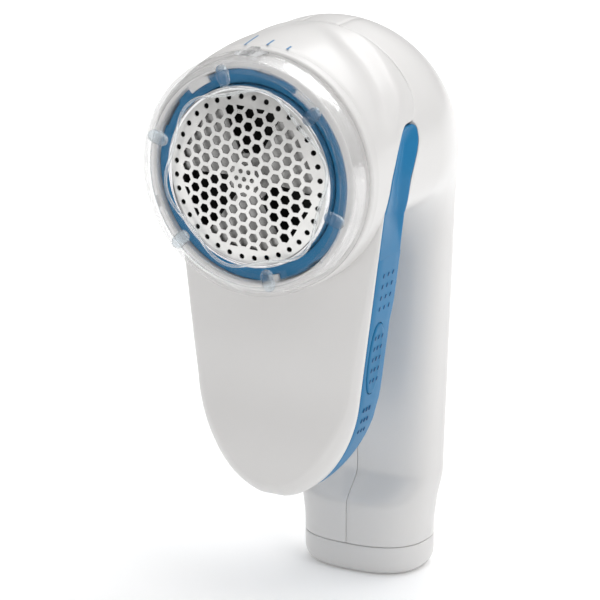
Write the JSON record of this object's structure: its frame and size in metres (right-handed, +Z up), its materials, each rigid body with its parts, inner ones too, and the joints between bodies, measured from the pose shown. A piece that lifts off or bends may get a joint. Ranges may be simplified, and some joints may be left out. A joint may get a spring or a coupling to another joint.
{
  "type": "fabric shaver",
  "caption": "Upright battery fabric shaver: domed hex-hole screen under a clear height cap, long front cover with a side-gripped lint container, curved handle standing on its battery cap.",
  "frame": {"origin": "centre of the flat face under the battery cap, on the surface it stands on", "axes": "+Z up along the handle, -Y towards the shaving screen, +X to the right seen from the screen"},
  "size_m": [0.0654, 0.0819, 0.1529],
  "materials": {
    "white": "smooth satin-gloss ABS",
    "blue": "satin ABS",
    "blue_pad": "soft-touch pad with raised dots",
    "clear": "clear polycarbonate",
    "screen": "etched and formed nickel foil",
    "chrome": "polished rim",
    "steel": "bright steel",
    "nickel": "nickel-plated spring steel",
    "brass": "brass",
    "copper": "enamelled windings on laminations",
    "ferrite": "ferrite",
    "inner_white": "unfinished moulding",
    "black_plastic": "moulded",
    "cell": "plain printed sleeve",
    "wire_red": "PVC insulation",
    "wire_black": "PVC insulation"
  },
  "bodies": {
    "shell": {"front_housing": "white", "handle_left": "white", "handle_right": "white", "back_strip": "white", "side_inlay_left": "blue", "side_inlay_right": "blue", "battery_cells": "cell", "battery_tray": "inner_white", "top_contacts": "nickel", "top_coil": "nickel", "wire_red": "wire_red", "wire_black": "wire_black", "switch_body": "black_plastic", "switch_pins": "brass", "case_screws": "steel", "motor_cradle": "inner_white", "motor_can": "steel", "motor_magnets": "ferrite", "motor_end_cap": "inner_white", "motor_terminals": "brass", "motor_screws": "steel", "shaft_bush": "brass", "chamber_floor": "black_plastic", "lint_chute": "inner_white", "screen_foil": "screen", "screen_rim": "chrome"},
    "battery_door": {"battery_cap": "white", "cap_contact": "nickel", "cap_coil": "nickel"},
    "switch": {"switch_slider": "black_plastic", "switch_knob": "blue"},
    "cutter": {"armature": "copper", "motor_shaft": "steel", "blade_carrier": "inner_white", "cutter_blades": "steel", "thrust_spring": "steel"},
    "ring": {"retaining_ring": "blue"},
    "click": {"click_ring": "clear"},
    "cap": {"height_cap": "clear"},
    "container": {"lint_container": "blue", "release_spring_left": "steel", "release_spring_right": "steel"},
    "pad_left": {"release_pad_left": "blue_pad"},
    "pad_right": {"release_pad_right": "blue_pad"}
  },
  "joints": [
    {"name": "cutter_spin", "type": "hinge", "parent": "shell", "child": "cutter", "pos_m": [0, -0.06, 0.12], "axis": [0, -1, 0], "continuous": true},
    {"name": "ring_turn", "type": "hinge", "parent": "shell", "child": "ring", "pos_m": [0, -0.06, 0.12], "axis": [0, -1, 0], "range_deg": [0, 22]},
    {"name": "cap_lift", "type": "slide", "parent": "shell", "child": "click", "axis": [0, -1, 0], "range_m": [-0.00061, 0.00061]},
    {"name": "cap_turn", "type": "hinge", "parent": "click", "child": "cap", "pos_m": [0, -0.06, 0.12], "axis": [0, -1, 0], "range_deg": [-10.5, 10.5]},
    {"name": "container_slide", "type": "slide", "parent": "shell", "child": "container", "axis": [0, 0, -1], "range_m": [0, 0.028]},
    {"name": "pad_left_press", "type": "slide", "parent": "container", "child": "pad_left", "axis": [0.991, 0, 0.1338], "range_m": [0, 0.0012], "stiffness_N_per_m": 300, "deforming": ["release_spring_left"]},
    {"name": "pad_right_press", "type": "slide", "parent": "container", "child": "pad_right", "axis": [-0.991, 0, 0.1338], "range_m": [0, 0.0012], "stiffness_N_per_m": 300, "deforming": ["release_spring_right"]},
    {"name": "switch_travel", "type": "slide", "parent": "shell", "child": "switch", "axis": [0, 0, 1], "range_m": [0, 0.0045]},
    {"name": "battery_door_slide", "type": "slide", "parent": "shell", "child": "battery_door", "axis": [0, 0, -1], "range_m": [0, 0.012]}
  ],
  "couplings": [
    {"joint": "cap_lift", "follows": "cap_turn", "m_per_rad": 0.003274}
  ]
}
